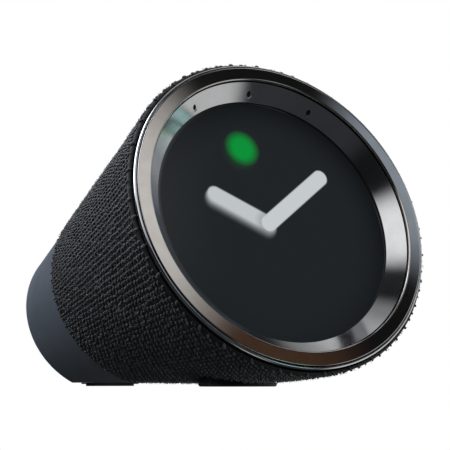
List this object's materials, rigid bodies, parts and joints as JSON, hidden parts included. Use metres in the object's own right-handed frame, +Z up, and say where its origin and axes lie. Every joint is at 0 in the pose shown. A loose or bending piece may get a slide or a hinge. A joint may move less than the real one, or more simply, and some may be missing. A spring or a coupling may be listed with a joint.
{
  "type": "smart speaker",
  "caption": "Desk smart speaker: a slanted cone-shaped body in knitted fabric with a round clock display in a polished ring, a soft-touch rear cap, top buttons and rubber feet.",
  "frame": {"origin": "on the table under the middle of the body: the centre of the bottom of the bounding box, in the plane of the feet", "axes": "+Z up, display facing -Y and leaning back, +X to the viewer's right when facing the display"},
  "size_m": [0.1122, 0.1686, 0.1095],
  "materials": {
    "ring_metal": "dark polished",
    "trim_chrome": "bright polished",
    "bezel_mirror": "dark mirror coated",
    "window_glass": "dark smoked satin window",
    "diffuser_plastic": "milky",
    "black_foam": "matt",
    "circuit_board": "solder mask",
    "plate_steel": "stamped",
    "screw_steel": "machined",
    "black_plastic": "moulded",
    "knit_fabric": "knitted yarn",
    "foot_rubber": "matt",
    "cap_plastic": "soft touch",
    "button_plastic": "soft touch",
    "basket_metal": "black",
    "magnet_steel": "zinc plated",
    "copper_coil": "wound wire",
    "cone_paper": "pressed pulp",
    "spider_cloth": "resin treated",
    "surround_rubber": "satin",
    "thermal_silicone": "soft",
    "sink_aluminium": "extruded",
    "capacitor_can": "sleeved",
    "flat_cable": "flexible film",
    "wire_insulation": "flexible"
  },
  "bodies": {
    "speaker_body": {"front_ring": "ring_metal", "trim_ring": "trim_chrome", "inner_bezel": "bezel_mirror", "window_gasket": "black_foam", "display_window": "window_glass", "light_diffuser": "diffuser_plastic", "display_panel": "circuit_board", "display_backplate": "plate_steel", "front_frame": "black_plastic", "frame_screws": "screw_steel", "mic_gaskets": "black_foam", "microphones": "plate_steel", "mic_board": "circuit_board", "grille_housing": "black_plastic", "fabric_sleeve": "knit_fabric", "front_hoop": "black_plastic", "rear_hoop": "black_plastic", "front_foot": "foot_rubber", "rear_foot": "foot_rubber", "rear_cap": "cap_plastic", "cap_screws": "screw_steel", "port_panel": "black_plastic", "power_inlet": "plate_steel", "service_port": "plate_steel", "port_board": "circuit_board", "button_board": "circuit_board", "button_switches": "plate_steel", "speaker_drum": "black_plastic", "drum_bracket": "black_plastic", "left_basket": "basket_metal", "left_magnet": "magnet_steel", "left_spider": "spider_cloth", "left_surround": "surround_rubber", "right_basket": "basket_metal", "right_magnet": "magnet_steel", "right_spider": "spider_cloth", "right_surround": "surround_rubber", "flange_gaskets": "black_foam", "flange_screws": "screw_steel", "main_board": "circuit_board", "board_standoffs": "plate_steel", "board_screws": "screw_steel", "processor": "black_plastic", "thermal_pad": "thermal_silicone", "heat_sink": "sink_aluminium", "shield_can": "plate_steel", "wifi_antenna": "circuit_board", "power_capacitors": "capacitor_can", "display_cable": "flat_cable", "power_lead": "wire_insulation", "speaker_leads": "wire_insulation", "button_cable": "wire_insulation"},
    "volume_down_key": {"volume_down_button": "button_plastic"},
    "action_key": {"action_button": "button_plastic"},
    "volume_up_key": {"volume_up_button": "button_plastic"},
    "mic_mute_key": {"mic_mute_button": "button_plastic"},
    "left_driver_cone": {"left_cone": "cone_paper", "left_voice_coil": "copper_coil"},
    "right_driver_cone": {"right_cone": "cone_paper", "right_voice_coil": "copper_coil"}
  },
  "joints": [
    {"name": "volume_down_press", "type": "slide", "parent": "speaker_body", "child": "volume_down_key", "axis": [0, -0.3338, -0.9426], "range_m": [0, 0.0005], "stiffness_N_per_m": 800},
    {"name": "action_press", "type": "slide", "parent": "speaker_body", "child": "action_key", "axis": [0, -0.3338, -0.9426], "range_m": [0, 0.0005], "stiffness_N_per_m": 800},
    {"name": "volume_up_press", "type": "slide", "parent": "speaker_body", "child": "volume_up_key", "axis": [0, -0.3338, -0.9426], "range_m": [0, 0.0005], "stiffness_N_per_m": 800},
    {"name": "mic_mute_press", "type": "slide", "parent": "speaker_body", "child": "mic_mute_key", "axis": [0, -0.3338, -0.9426], "range_m": [0, 0.0005], "stiffness_N_per_m": 800},
    {"name": "left_cone_travel", "type": "slide", "parent": "speaker_body", "child": "left_driver_cone", "axis": [-1, 0, 0], "range_m": [-0.0015, 0.0015], "stiffness_N_per_m": 1500, "deforming": ["left_surround", "left_spider"]},
    {"name": "right_cone_travel", "type": "slide", "parent": "speaker_body", "child": "right_driver_cone", "axis": [1, 0, 0], "range_m": [-0.0015, 0.0015], "stiffness_N_per_m": 1500, "deforming": ["right_surround", "right_spider"]}
  ]
}
